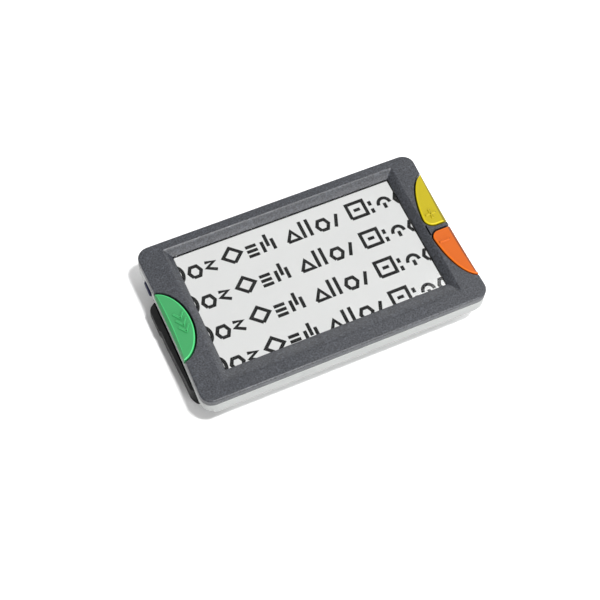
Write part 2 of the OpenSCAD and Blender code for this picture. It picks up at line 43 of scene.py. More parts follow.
# Sizes in millimetres, as in the CAD model
HALF_L, HALF_W = 60.6, 36.6
TOP, SPLIT, WAIST, BACK = 22.0, 18.5, 12.2, 0.8
SIDE_R = 5.2                     # corner radius, before flare() widens the corners
SIDE_PARTS = (28, 16)            # lengths that long and short sides are split into, for flare()
WALL = 1.8
INSIDE = 0.9                     # inset of added walls and posts, which end within the wall
PICTURE = (0.25, 2.5)            # centre of the picture
ACTIVE = (95.04, 53.86)          # its size
WINDOW_Z, WINDOW_T, LIP = 19.0, 1.0, 0.5
MARKS_Z, MARKS_T = 17.63, 0.02   # the marks lie on the lit panel
SLOPE_SIDE, SLOPE_LOW = 3.0, 6.2
KEY_REACH, GREEN_HALF, PAIR_HALF = 8.8, 15.6, 25.6
GREEN_Y, PAIR_Y = -0.4, -0.7
YELLOW_END, ORANGE_END = 0.9, -1.9
YELLOW_R, ORANGE_R = 4.2, 3.4    # rounded corner next to the divider
GREEN_SIDE, PAIR_SIDE = 60.92, 60.72
SWITCH_X = 56.2
SWITCH_Y = {"green": GREEN_Y, "yellow": 12.0, "orange": -13.4}
KEY_GAP, KEY_FLOOR = 0.7, 19.2
PIVOT = (-55.2, -21.5)
ROOF, ROOF_T = 13.9, 1.1
HANDLE_Z = (2.4, 13.6)
POWER = (22.8, 14.1)             # y, z of the power key
POWER_HALF, POWER_R = (3.4, 1.65), 1.6
POWER_GAP = 0.25
SOCKET = (20.0, 13.0)            # x, z of the charging socket
CAMERA = (32.0, 2.0)
BATTERY_DOOR = ((-43.0, -20.0), (17.0, 16.0))
DOOR_SCREW = (-40.5, -2.0)
CASE_POSTS = [(55.2, 29.8), (55.2, -30.2), (-55.2, 29.8), (-55.2, -30.2)]
OVER_POCKET = 3                  # the case post that stands over the handle's pocket
BOARD_POSTS = [(-37, 27), (46, 27), (-37, -29), (46, -27)]
FEET = [(46, 22), (46, -22), (-38, 22.6), (-38, -24), (0, 0)]


# ---------------------------------------------------------------- camera

def make_camera():
    """The photograph's viewpoint: direction, roll, distance and lens."""
    azimuth, elevation, roll = radians(-28.11), radians(61.202), radians(4.328)
    target, distance = Vector((-0.00946, -0.00944, 0.022)), 0.544
    back = Vector((sin(azimuth) * cos(elevation), -cos(azimuth) * cos(elevation), sin(elevation)))
    right = Vector((0, 0, 1)).cross(back).normalized()
    up = back.cross(right)
    right_r = cos(roll) * right + sin(roll) * up
    up_r = cos(roll) * up - sin(roll) * right
    data = bpy.data.cameras.new("camera")
    data.sensor_width = 36.0
    data.lens = 83.33
    data.dof.use_dof = False
    camera = bpy.data.objects.new("camera", data)
    SCENE.collection.objects.link(camera)
    turn = Matrix((right_r, up_r, back)).transposed().to_4x4()
    camera.matrix_world = Matrix.Translation(target + distance * back) @ turn
    SCENE.camera = camera


# ---------------------------------------------------------------- mesh tools

def flare(x, y):
    """The short sides are slightly hollow: they stand out towards the corners."""
    stand_out, corner_y = 0.5, 31
    start_x, reach = 52, 8
    near = min(max((abs(x) - start_x) / reach, 0), 1)
    rise = stand_out * min((y / corner_y) ** 2, 1.1) * near * near * (3 - 2 * near)
    return x + (rise if x > 0 else -rise)


def loft(rings):
    """Closed solid through rings of equally many points, capped at both ends."""
    bm = bmesh.new()
    made = [[bm.verts.new(p) for p in ring] for ring in rings]
    count = len(made[0])
    for lower, upper in zip(made, made[1:]):
        for i in range(count):
            j = (i + 1) % count
            bm.faces.new((lower[i], lower[j], upper[j], upper[i]))
    bm.faces.new(made[0])
    bm.faces.new(made[-1])
    bmesh.ops.recalc_face_normals(bm, faces=bm.faces)
    return bm


def ring_at(plan, z):
    return [(x, y, z) for x, y in plan]


def prism(plan, z0, z1):
    return loft([ring_at(plan, z0), ring_at(plan, z1)])


def round_rect(half_l, half_w, r, centre=(0, 0), steps=9, parts=(1, 1)):
    """Rounded rectangle, anticlockwise. parts: lengths that a long and a short side are split into."""
    points = []
    corners = [(1, -1, -90), (1, 1, 0), (-1, 1, 90), (-1, -1, 180)]
    for sx, sy, start in corners:
        for i in range(steps + 1):
            a = radians(start + 90 * i / steps)
            points.append((centre[0] + sx * (half_l - r) + r * cos(a),
                           centre[1] + sy * (half_w - r) + r * sin(a)))
    filled = []
    for i, (p, q) in enumerate(zip(points, points[1:] + points[:1])):
        filled.append(p)
        pieces = 1
        if i % (steps + 1) == steps:
            pieces = parts[1] if (i // (steps + 1)) % 2 == 0 else parts[0]
        for k in range(1, pieces):
            filled.append((p[0] + (q[0] - p[0]) * k / pieces, p[1] + (q[1] - p[1]) * k / pieces))
    return filled


def circle(r, centre=(0, 0), steps=40):
    return [(centre[0] + r * cos(2 * pi * i / steps), centre[1] + r * sin(2 * pi * i / steps))
            for i in range(steps)]


def lathe(profile, centre=(0, 0), steps=40):
    """Solid of revolution about a vertical line, through (radius, z) points."""
    return loft([ring_at(circle(max(r, 0.02), centre, steps), z) for r, z in profile])


def block(a, b):
    return prism([(a[0], a[1]), (b[0], a[1]), (b[0], b[1]), (a[0], b[1])], a[2], b[2])


def on_left_wall(bm, y, z):
    """Turns an upright shape to lie along x, about a point of the left wall."""
    bm.transform(Matrix(((0, 0, 1, 0), (1, 0, 0, y), (0, 1, 0, z), (0, 0, 0, 1))))
    return bm


def on_far_wall(bm, x, z):
    """Turns an upright shape to lie along y, about a point of the far wall."""
    bm.transform(Matrix(((1, 0, 0, x), (0, 0, 1, 0), (0, -1, 0, z), (0, 0, 0, 1))))
    return bm


def joined(parts):
    """One mesh of several separate shells."""
    out = bmesh.new()
    for part in parts:
        mesh = bpy.data.meshes.new("part")
        part.to_mesh(mesh)
        part.free()
        out.from_mesh(mesh)
        bpy.data.meshes.remove(mesh)
    return out


def scratch_object(bm, name):
    mesh = bpy.data.meshes.new(name)
    bm.to_mesh(mesh)
    bm.free()
    obj = bpy.data.objects.new(name, mesh)
    SCENE.collection.objects.link(obj)
    return obj


def discard(obj):
    mesh = obj.data
    bpy.data.objects.remove(obj)
    bpy.data.meshes.remove(mesh)


def bake(obj):
    """Applies the object's modifiers to its mesh."""
    graph = bpy.context.evaluated_depsgraph_get()
    mesh = bpy.data.meshes.new_from_object(obj.evaluated_get(graph))
    obj.modifiers.clear()
    old = obj.data
    obj.data = mesh
    bpy.data.meshes.remove(old)


def less(*tools):
    """Steps of carve() that take shapes away."""
    return [("DIFFERENCE", tool) for tool in tools]


def plus(*tools):
    """Steps of carve() that add shapes."""
    return [("UNION", tool) for tool in tools]


def within(tool):
    """Step of carve() that keeps what lies inside a shape."""
    return [("INTERSECT", tool)]


def carve(bm, steps):
    """Applies boolean steps in order and returns the result."""
    base = scratch_object(bm, "carved")
    for operation, tool_bm in steps:
        tool = scratch_object(tool_bm, "tool")
        mod = base.modifiers.new("carve", "BOOLEAN")
        mod.operation = operation
        mod.object = tool
        mod.solver = "EXACT"
        bake(base)
        discard(tool)
    out = bmesh.new()
    out.from_mesh(base.data)
    discard(base)
    bmesh.ops.remove_doubles(out, verts=out.verts, dist=1e-4)
    return out


def cut_away(bm, point, normal, several=False):
    """Cuts off what lies on the normal's side of a plane, and closes the cut.
    several says that the cut has more than one outline."""
    geom = list(bm.verts) + list(bm.edges) + list(bm.faces)
    res = bmesh.ops.bisect_plane(bm, geom=geom, plane_co=point, plane_no=normal,
                                 clear_outer=True, dist=1e-5)
    edges = [e for e in res["geom_cut"] if isinstance(e, bmesh.types.BMEdge)]
    if several:
        bmesh.ops.edgenet_fill(bm, edges=edges)
    elif edges:
        bmesh.ops.contextual_create(bm, geom=edges)
    bmesh.ops.recalc_face_normals(bm, faces=bm.faces)


def soften(bm, width, segments, angle):
    """Rounds the edges that are sharper than an angle in degrees."""
    edges = [e for e in bm.edges if len(e.link_faces) == 2 and e.calc_face_angle(0) > radians(angle)]
    bmesh.ops.bevel(bm, geom=edges, offset=width, offset_type="OFFSET", segments=segments,
                    profile=0.5, affect="EDGES", clamp_overlap=True)


def piece(name, bm, material, body, replaces=(), angle=30, flared=False):
    """Makes the visible piece from millimetres, gives it its material, and ties it to its body."""
    if flared:
        for v in bm.verts:
            v.co.x = flare(v.co.x, v.co.y)
    bm.transform(Matrix.Scale(MM, 4))
    bmesh.ops.recalc_face_normals(bm, faces=bm.faces)
    obj = scratch_object(bm, name)
    obj.data.shade_smooth()
    obj.data.set_sharp_from_angle(angle=radians(angle))
    obj.data.materials.append(material)
    # Large faces stay flat up to their eased edges
    mod = obj.modifiers.new("weighted", "WEIGHTED_NORMAL")
    mod.keep_sharp = True
    mod.weight = 80
    bake(obj)
    obj.data.name = name
    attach(obj, body)
    if replaces:
        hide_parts(*replaces)
    return obj


# ---------------------------------------------------------------- materials

class Nodes:
    """Small helper round a material's node tree."""

    def __init__(self, name):
        self.material = bpy.data.materials.new(name)
        self.material.use_nodes = True
        self.tree = self.material.node_tree
        self.shader = self.tree.nodes["Principled BSDF"]
        self.coords = self.add("ShaderNodeTexCoord").outputs
        self.where = self.coords["Object"]

    def add(self, kind, **values):
        node = self.tree.nodes.new(kind)
        for key, value in values.items():
            if key in node.inputs:
                node.inputs[key].default_value = value
            else:
                setattr(node, key, value)
        return node

    def link(self, a, b):
        self.tree.links.new(a, b)

    def noise(self, scale, detail=3.0, rough=0.55, stretch=None):
        node = self.add("ShaderNodeTexNoise")
        node.inputs["Scale"].default_value = scale
        node.inputs["Detail"].default_value = detail
        node.inputs["Roughness"].default_value = rough
        where = self.where
        if stretch:
            mapping = self.add("ShaderNodeMapping")
            mapping.inputs["Scale"].default_value = stretch
            self.link(where, mapping.inputs["Vector"])
            where = mapping.outputs["Vector"]
        self.link(where, node.inputs["Vector"])
        return node.outputs["Fac"]

    def spread(self, value, low, high, start=0.3, end=0.7):
        """From low to high as value goes from start to end."""
        node = self.add("ShaderNodeMapRange")
        for key, number in (("From Min", start), ("From Max", end),
                            ("To Min", low), ("To Max", high)):
            node.inputs[key].default_value = number
        self.link(value, node.inputs["Value"])
        return node.outputs["Result"]

    def blend(self, value, low, high):
        """Colour from low to high as value goes from 0 to 1."""
        node = self.add("ShaderNodeMix", data_type="RGBA")
        self.link(value, node.inputs[0])
        for socket, colour in ((node.inputs[6], low), (node.inputs[7], high)):
            if isinstance(colour, tuple):
                socket.default_value = colour
            else:
                self.link(colour, socket)
        return node.outputs[2]

    def bump(self, value, height, strength=1.0, before=None):
        node = self.add("ShaderNodeBump")
        node.inputs["Strength"].default_value = strength
        node.inputs["Distance"].default_value = height
        self.link(value, node.inputs["Height"])
        if before is not None:
            self.link(before, node.inputs["Normal"])
        return node.outputs["Normal"]


def linear(rgb):
    """sRGB 0-255 to a linear colour."""
    out = []
    for c in rgb:
        c = c / 255
        out.append(c / 12.92 if c <= 0.04045 else ((c + 0.055) / 1.055) ** 2.4)
    return tuple(out) + (1.0,)


def shade(colour, factor):
    return tuple(min(c * factor, 1.0) for c in colour[:3]) + (1.0,)


def plastic(name, rgb, rough=0.45, grain=2600.0, depth=0.00003, contrast=0.12, flecks=0.0,
            metallic=0.0, coat=0.0, specular=0.5, edges=0.0, right_slope_shade=1.0):
    """Moulded plastic: fine grain in colour, gloss and relief, and soft handling marks.
    It can paint a highlight on eased edges and shallow slopes, and paint shade on slopes that face
    right."""
    n = Nodes(name)
    base = linear(rgb)
    fine = n.noise(grain, 2.0)
    broad = n.noise(70.0, 4.0)
    tone = n.blend(n.spread(fine, 0.0, 1.0), shade(base, 1 - contrast), shade(base, 1 + contrast))
    tone = n.blend(n.spread(broad, 0.0, 0.35), tone, shade(base, 0.86))
    if flecks:
        spots = n.noise(grain * 0.6, 1.0, 0.3)
        tone = n.blend(n.spread(spots, 0.0, flecks, 0.6, 0.72), tone, shade(base, 2.2))
    if edges:
        # Painted highlight: eased edges and shallow slopes, found by the tilt of their normal, are
        # brightened; flat tops and steep sides keep their colour
        facing = n.add("ShaderNodeSeparateXYZ")
        n.link(n.coords["Normal"], facing.inputs[0])
        rounded = n.spread(facing.outputs["Z"], 0.0, edges, 0.68, 0.76)
        flat = n.spread(facing.outputs["Z"], 0.0, 1.0, 0.94, 0.99)
        tone = n.blend(rounded, tone, n.blend(flat, shade(base, 2.4), tone))
        # Painted shade: slopes whose normal tilts to the right are darkened
        if right_slope_shade != 1.0:
            tone = n.blend(n.spread(facing.outputs["X"], 0.0, 1.0, 0.2, 0.4), tone,
                           shade(base, right_slope_shade))
    n.link(tone, n.shader.inputs["Base Color"])
    worn = n.noise(160.0, 3.0)
    n.link(n.spread(worn, rough - 0.06, rough + 0.08), n.shader.inputs["Roughness"])
    n.link(n.bump(fine, depth, 0.6, n.bump(broad, 0.00002, 0.25)), n.shader.inputs["Normal"])
    n.shader.inputs["Metallic"].default_value = metallic
    n.shader.inputs["Specular IOR Level"].default_value = specular
    n.shader.inputs["Coat Weight"].default_value = coat
    n.shader.inputs["Coat Roughness"].default_value = 0.18
    return n.material


def brushed(name, rgb, rough=0.32, stretch=(1, 14, 14)):
    """Bare metal with fine drawn lines."""
    n = Nodes(name)
    base = linear(rgb)
    lines = n.noise(420.0, 4.0, 0.6, stretch)
    n.link(n.blend(n.spread(lines, 0.0, 1.0), shade(base, 0.82), shade(base, 1.12)),
           n.shader.inputs["Base Color"])
    n.link(n.spread(lines, rough - 0.08, rough + 0.1), n.shader.inputs["Roughness"])
    n.link(n.bump(lines, 0.00001, 0.4), n.shader.inputs["Normal"])
    n.shader.inputs["Metallic"].default_value = 1.0
    return n.material


def circuit(name, rgb, copper=(120, 150, 90)):
    """Lacquered board: tracks under the lacquer, with a glossy uneven coat."""
    n = Nodes(name)
    base = linear(rgb)
    cells = n.add("ShaderNodeTexBrick", offset=0.37)
    for key, value in (("Scale", 90.0), ("Mortar Size", 0.06), ("Brick Width", 0.8),
                       ("Row Height", 0.23)):
        cells.inputs[key].default_value = value
    n.link(n.where, cells.inputs["Vector"])
    noise = n.noise(600.0)
    tone = n.blend(cells.outputs["Fac"], base, shade(linear(copper), 0.6))
    tone = n.blend(n.spread(noise, 0.0, 0.3), tone, shade(base, 0.6))
    n.link(tone, n.shader.inputs["Base Color"])
    n.link(n.spread(noise, 0.25, 0.45), n.shader.inputs["Roughness"])
    n.link(n.bump(cells.outputs["Fac"], 0.00003, 0.5), n.shader.inputs["Normal"])
    return n.material


def clear(name, rgb, rough=0.03, coat=0.0):
    """Clear pane with faint smears."""
    n = Nodes(name)
    smears = n.noise(45.0, 5.0)
    n.link(n.blend(n.spread(smears, 0.0, 0.25), linear(rgb), shade(linear(rgb), 0.96)),
           n.shader.inputs["Base Color"])
    n.link(n.spread(smears, rough, rough + 0.03), n.shader.inputs["Roughness"])
    n.shader.inputs["Transmission Weight"].default_value = 1.0
    n.shader.inputs["IOR"].default_value = 1.45
    n.shader.inputs["Specular IOR Level"].default_value = 0.15
    n.shader.inputs["Coat Weight"].default_value = coat
    return n.material


def lit_panel(name, rgb, strength):
    """Backlit panel: even light with a faint pixel grid and slow unevenness."""
    n = Nodes(name)
    grid = n.add("ShaderNodeTexBrick", offset=0.0)
    for key, value in (("Scale", 1000.0), ("Mortar Size", 0.03), ("Brick Width", 0.35),
                       ("Row Height", 0.35)):
        grid.inputs[key].default_value = value
    n.link(n.where, grid.inputs["Vector"])
    cloud = n.noise(30.0, 2.0)
    base = linear(rgb)
    tone = n.blend(n.spread(cloud, 0.0, 1.0), shade(base, 0.97), base)
    tone = n.blend(n.spread(grid.outputs["Fac"], 0.0, 0.1, 0.0, 1.0), tone, shade(base, 0.8))
    n.link(tone, n.shader.inputs["Emission Color"])
    n.shader.inputs["Emission Strength"].default_value = strength
    n.shader.inputs["Base Color"].default_value = (0.02, 0.02, 0.02, 1)
    n.link(n.spread(cloud, 0.3, 0.4), n.shader.inputs["Roughness"])
    return n.material


def floor_material():
    n = Nodes("floor_white")
    cloud = n.noise(3.0, 2.0)
    n.link(n.blend(n.spread(cloud, 0.0, 1.0), (0.90, 0.90, 0.90, 1), (0.915, 0.915, 0.915, 1)),
           n.shader.inputs["Base Color"])
    n.link(n.spread(cloud, 0.8, 0.9), n.shader.inputs["Roughness"])
    n.shader.inputs["Specular IOR Level"].default_value = 0.1
    return n.material


MATERIALS = {
    "bezel": plastic("bezel_grained", (49, 51, 56), rough=0.4, grain=1500.0, depth=0.0001,
                     contrast=0.8, flecks=0.5),
    "shell": plastic("shell_silver", (150, 152, 151), rough=0.4, grain=3200.0, depth=0.00002,
                     contrast=0.07, flecks=0.05, metallic=0.25),
    # The keys get a painted highlight on eased edges; yellow and orange also get painted shade on
    # slopes that face right
    "green": plastic("key_green", (46, 132, 76), rough=0.5, grain=3000.0, depth=0.00002,
                     contrast=0.05, specular=0.35, edges=0.7),
    "yellow": plastic("key_yellow", (160, 145, 8), rough=0.52, grain=3000.0, depth=0.00002,
                      contrast=0.05, specular=0.25, edges=0.38, right_slope_shade=0.5),
    "orange": plastic("key_orange", (178, 82, 10), rough=0.52, grain=3000.0, depth=0.00002,
                      contrast=0.05, specular=0.25, edges=0.38, right_slope_shade=0.42),
    "blue": plastic("key_blue", (7, 14, 62), rough=0.5, grain=3000.0, depth=0.00002,
                    contrast=0.08, specular=0.2),
    "handle": plastic("handle_black", (4, 4, 5), rough=0.5, grain=1500.0, depth=0.00006,
                      contrast=0.3, flecks=0.1, specular=0.07),
    "feet": plastic("rubber_dark", (34, 35, 37), rough=0.75, grain=1400.0, depth=0.00008,
                    contrast=0.25),
    "gasket": plastic("gasket_black", (6, 6, 7), rough=0.7, grain=1400.0, depth=0.00005,
                      contrast=0.2),
    "ink": plastic("picture_ink", (4, 4, 4), rough=0.6, grain=3000.0, depth=0.00001,
                   contrast=0.2, specular=0.03),
    "plunger": plastic("plunger_white", (205, 205, 202), rough=0.4, grain=2600.0, depth=0.00002,
                       contrast=0.05),
    "chips": plastic("chip_black", (28, 30, 33), rough=0.5, grain=5000.0, depth=0.00002,
                     contrast=0.2),
    "battery": plastic("battery_sleeve", (48, 66, 104), rough=0.3, grain=900.0, depth=0.00004,
                       contrast=0.1, coat=0.4),
    "flex": plastic("flex_amber", (176, 104, 34), rough=0.3, grain=900.0, depth=0.00002,
                    contrast=0.12, coat=0.5),
    "led": plastic("led_resin", (238, 226, 150), rough=0.25, grain=1200.0, depth=0.00001,
                   contrast=0.05, coat=0.5),
    "board": circuit("board_green", (24, 92, 50)),
    "white_board": circuit("board_white", (222, 222, 214), copper=(235, 225, 190)),
    "metal_tray": brushed("tray_steel", (168, 171, 176)),
    "steel": brushed("screw_steel", (176, 178, 182), rough=0.28, stretch=(10, 10, 1)),
    "contacts": brushed("contact_gold", (214, 172, 84), rough=0.25),
    "window": clear("window_clear", (250, 252, 252)),
    "lens": clear("lens_coated", (214, 224, 240), rough=0.01, coat=0.6),
    "display": lit_panel("panel_light", (236, 235, 234), 0.95),
}


def paint_nodes():
    """Every CAD node gets the procedural material of the slot that its packed material names."""
    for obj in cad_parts.values():
        slot_name = obj.data.materials[0].name.split(".")[0]
        for socket in obj.material_slots:
            socket.link = "OBJECT"
            socket.material = MATERIALS[slot_name]


# ---------------------------------------------------------------- key outlines

def moon(half, mid, start, end, end_r, square_start, g):
    """Half-moon outline against the right side, grown by g, from y = start to y = end.
    end_r rounds the corner at the square end."""
    reach, wide = KEY_REACH + g, half + g
    start, end = start - g, end + g
    radius = end_r + g if end_r else 0
    square = start if square_start else end
    inward = 1 if square_start else -1
    low, high = sorted((square + inward * radius, end if square_start else start))

    def angle_of(y):
        return asin(max(-1, min(1, (y - mid) / wide)))

    a0, a1 = angle_of(low), angle_of(high)
    ys = [mid + wide * sin(a0 + (a1 - a0) * i / 40) for i in range(41)]
    if end_r:
        ys += [square + inward * radius * (1 - cos(radians(9 * i))) for i in range(10)]
    points = []
    for y in sorted(ys):
        x = reach * max(1 - ((y - mid) / wide) ** 2, 0) ** 0.6
        if end_r:
            s = abs(y - square)
            if s < radius:
                x -= radius * (1 - sqrt(max(1 - (1 - s / radius) ** 2, 0)))
        points.append((HALF_L - max(x, 0), y))
    return points


def key_curve(which, g):
    """The curved side of a key's outline, on the right-hand side of the body."""
    if which == "green":
        return moon(GREEN_HALF, GREEN_Y, GREEN_Y - GREEN_HALF, GREEN_Y + GREEN_HALF, 0, True, g)
    if which == "yellow":
        return moon(PAIR_HALF, PAIR_Y, YELLOW_END, PAIR_Y + PAIR_HALF, YELLOW_R, True, g)
    return moon(PAIR_HALF, PAIR_Y, PAIR_Y - PAIR_HALF, ORANGE_END, ORANGE_R, False, g)


def mirror_of(which):
    """The green key is on the left, the other two are on the right."""
    return -1 if which == "green" else 1


def key_outline(which, g, outer):
    """Closed outline of one key's hole or body. outer is x of its outer side at a given y."""
    curve = key_curve(which, g)
    back = [(max(outer(y), x + 0.02), y) for x, y in curve]
    return [(mirror_of(which) * x, y) for x, y in curve + back[::-1]]


def key_cutter(which):
    """Hole of a key in the bezel, with a small chamfer round its rim."""
    rim = ((SPLIT - 1, 0), (TOP - 0.22, 0), (TOP - 0.08, 0.06), (TOP + 0.02, 0.2), (TOP + 0.5, 0.7))
    return loft([ring_at(key_outline(which, KEY_GAP + g, lambda y: HALF_L + 3), z) for z, g in rim])


# ---------------------------------------------------------------- front bezel

def picture_cutter():
    """Sloped frame round the picture: mitred slopes, slightly crowned, with eased edges."""
    margin, crown = 0.3, 0.09
    half_l, half_w = ACTIVE[0] / 2 + margin, ACTIVE[1] / 2 + margin

    def ring(t, z):
        """Outline at t of the way up the slopes."""
        half_x, half_y = half_l + SLOPE_SIDE * t, half_w + (SLOPE_LOW + SLOPE_SIDE) / 2 * t
        mid = (PICTURE[0], PICTURE[1] - (SLOPE_LOW - SLOPE_SIDE) / 2 * t)
        return ring_at(round_rect(half_x, half_y, 0.25 + 0.35 * max(t, 0), mid, 4), z)

    floor = WINDOW_Z + LIP
    rings = [ring(0, SPLIT - 1), ring(0, floor - 0.05), ring(0.02, floor + 0.02)]
    for t in (0.12, 0.3, 0.5, 0.7, 0.86):
        rings.append(ring(t, floor + (TOP - floor) * (t + crown * sin(pi * t))))
    rings += [ring(0.95, TOP - 0.09), ring(1.0, TOP - 0.03), ring(1.05, TOP + 0.003),
              ring(1.25, TOP + 0.6)]
    return loft(rings)


def front_bezel():
    crest, crest_steps = 0.7, 6
    rings = [(SPLIT + 0.03, 0.12), (SPLIT + 0.16, 0.0)]
    for i in range(crest_steps + 1):
        a = radians(90 / crest_steps * i)
        rings.append((TOP - crest + crest * sin(a), crest * (1 - cos(a))))
    slab = loft([ring_at(round_rect(HALF_L - i, HALF_W - i, SIDE_R - i, parts=SIDE_PARTS), z)
                 for z, i in rings])
    seat = 2.05
    window_l, window_w = ACTIVE[0] / 2 + seat, ACTIVE[1] / 2 + seat
    recess = block((PICTURE[0] - window_l, PICTURE[1] - window_w, SPLIT - 1),
                   (PICTURE[0] + window_l, PICTURE[1] + window_w, WINDOW_Z + 0.02))
    # The groove round the two right keys runs on across their divider
    band = moon(PAIR_HALF, PAIR_Y, -2.2, 1.2, 0, True, KEY_GAP)
    groove = prism(band + [(x + KEY_GAP, y) for x, y in band[::-1]], 20.4, TOP + 1)
    key_holes = [key_cutter(which) for which in SWITCH_Y]
    body = carve(slab, less(picture_cutter(), recess, *key_holes, groove))
    posts = []
    for i, (x, y) in enumerate(CASE_POSTS):
        low = 15.05 if i == OVER_POCKET else 12.65
        post = lathe([(2.4, low), (2.4, SPLIT + 0.02)], (x, y))
        posts.append(carve(post, less(lathe([(1.0, low - 1), (1.0, SPLIT + 1)], (x, y)))))
    piece("front_bezel_shell", joined([body] + posts), MATERIALS["bezel"], "case",
          ["front_bezel"], 32, True)


# ---------------------------------------------------------------- coloured keys

def bar(a, b, width=0.85, height=0.45):
    """Small raised bar with eased edges on a key's face."""
    a, b = Vector((*a, 0)), Vector((*b, 0))
    along = (b - a).normalized()
    side = Vector((-along.y, along.x, 0))
    a, b = a - along * width / 2, b + along * width / 2
    rings = []
    for grow, z in ((0.2, -0.05), (0.16, 0.04), (-0.1, height - 0.06), (-0.2, height)):
        w = width / 2 + grow
        rings.append([tuple(p + Vector((0, 0, TOP + z))) for p in
                      (a - along * grow - side * w, b + along * grow - side * w,
                       b + along * grow + side * w, a - along * grow + side * w)])
    return loft(rings)


def between(table, z):
    """Straight-line value of a falling table of (z, value) at z."""
    for (z0, a), (z1, b) in zip(table, table[1:]):
        if z0 >= z >= z1:
            return a + (b - a) * (z0 - z) / (z0 - z1)
    return table[-1][1] if z < table[-1][0] else table[0][1]


# Keys: (height, growth of the outline) of the rounded rim, and (height, part of the way from the
# ridge to the outer side) of the steep green slope and of the shallow yellow and orange ones
RIM = [(TOP, -0.62), (TOP - 0.15, -0.28), (TOP - 0.32, -0.08), (TOP - 0.5, 0.0), (KEY_FLOOR, 0.0)]
STEEP = [(TOP, 0.0), (TOP - 0.07, 0.13), (TOP - 0.22, 0.27), (TOP - 1.35, 0.9), (TOP - 1.55, 0.97),
         (TOP - 1.85, 1.0), (KEY_FLOOR, 1.0)]
SHALLOW = [(TOP, 0.0), (TOP - 0.03, 0.1), (TOP - 0.1, 0.22), (TOP - 0.68, 0.88), (TOP - 0.8, 0.95),
           (TOP - 1.0, 1.0), (KEY_FLOOR, 1.0)]


def key_body(which, side, slope, ridge):
    """A key: its rounded rim, the slope from its ridge to its outer side, its hollow and its boss.
    ridge is x of the line where the slope starts, at a given y."""
    mirror, switch_y = mirror_of(which), SWITCH_Y[which]
    rings = []
    for z in sorted({z for z, _ in RIM + slope}):
        t = between(slope, z)
        plan = key_outline(which, between(RIM, z), lambda y: ridge(y) + (side - ridge(y)) * t)
        rings.append(ring_at(plan, z))
    inner, outer = sorted((mirror * (SWITCH_X - 1.6), mirror * (SWITCH_X + 2.2)))
    hollow = block((inner, switch_y - 4.4, 17), (outer, switch_y + 4.4, TOP - 1.8))
    boss = lathe([(1.5, 18.35), (1.5, TOP - 1)], (mirror * SWITCH_X, switch_y))
    return [carve(loft(rings), less(hollow)), boss]


def chevrons():
    bars = []
    for i in range(3):
        tip = (-55.5, 1.3 - 3.05 * i)
        for s in (-1, 1):
            bars.append(bar(tip, (tip[0] + 1.8 * s, tip[1] + 2.35), 0.9, 0.55))
    return bars


def coloured_keys():
    """The three key caps with their raised signs: chevrons, plus and minus."""
    plus_bars = [bar((54.1, 6.1), (57.7, 6.1)), bar((55.9, 4.3), (55.9, 7.9))]
    minus_bar = [bar((53.6, -7.5), (57.2, -7.5))]
    caps = {
        # key: (outer side, slope, line where the slope starts, raised sign)
        "green": (GREEN_SIDE, STEEP, lambda y: 59.3 + 0.004 * (y - 1) ** 2, chevrons()),
        "yellow": (PAIR_SIDE, SHALLOW, lambda y: 58.9 + 0.05 * (y - 2), plus_bars),
        "orange": (PAIR_SIDE, SHALLOW, lambda y: 59.2 + 0.0015 * (y + 7) ** 2, minus_bar),
    }
    for which, (side, slope, ridge, sign) in caps.items():
        cap = joined(key_body(which, side, slope, ridge) + sign)
        piece(which + "_key_cap", cap, MATERIALS[which], which + "_button",
              [which + "_key"], 24, True)


def key_mats():
    """Black rubber mat below each key, that closes the slot round it. Its black also stands in for the
    shade down in the slot.
    """
    for which, switch_y in SWITCH_Y.items():
        mirror = mirror_of(which)
        mat = prism(key_outline(which, 0.95, lambda y: HALF_L + 0.6), 18.1, 18.3)
        cut_away(mat, (mirror * 58.6, 0, 0), (mirror, 0, 0))
        mat = carve(mat, less(lathe([(1.75, 17), (1.75, 19)], (mirror * SWITCH_X, switch_y))))
        piece(which + "_key_mat", mat, MATERIALS["gasket"], "case", (), 30, True)


# ---------------------------------------------------------------- rear shell

def belly_profile():
    """(height, inset) from the parting line down to the flat back."""
    taper = [(WAIST, 0), (8, 2.5), (4, 5), (2, 6.8), (BACK, 8.8)]
    out = [(SPLIT - 0.03, 0.14), (SPLIT - 0.18, 0.0), (15.5, 0.0), (WAIST + 0.7, 0.0),
           (WAIST + 0.3, 0.03), (WAIST, 0.12), (WAIST - 0.4, 0.3)]
    for (z0, i0), (z1, i1) in zip(taper, taper[1:]):
        for k in (1, 2, 3):
            t = k / 3
            bulge = 0.16 * sin(pi * t) if z0 < WAIST else 0.0
            if z0 == WAIST and k == 1:
                bulge = -0.05
            out.append((z0 + (z1 - z0) * t, i0 + (i1 - i0) * t - bulge))
    return [(z, max(i, 0)) for z, i in out]


def body_form(inset, low, high):
    """The body's outside brought in by inset, between two heights."""
    rings = [(z, i + inset) for z, i in belly_profile() if low <= z <= high + 0.02]
    if rings[0][0] < high - 0.05:
        rings.insert(0, (high, rings[0][1]))
    if rings[-1][0] > low + 0.05:
        rings.append((low, rings[-1][1] + 0.3))
    return loft([ring_at(round_rect(HALF_L - i, HALF_W - i, max(SIDE_R - 0.35 * i, 1),
                                    parts=SIDE_PARTS), z) for z, i in rings])


def pocket_plan(g):
    """Ground that the handle sweeps between folded and fully open, grown by g."""
    px, py = PIVOT
    top, reach = 17.8 + g, 9.4 + g
    slant, far_away = radians(-45), 60
    edge = [(px + reach * cos(slant * i / 32), py + reach * sin(slant * i / 32)) for i in range(33)]
    far = (edge[-1][0] + far_away * sin(slant), edge[-1][1] - far_away * cos(slant))
    plan = [(px + reach, top)] + edge + [far, (-110, -70), (-110, top)]
    return plan[::-1]


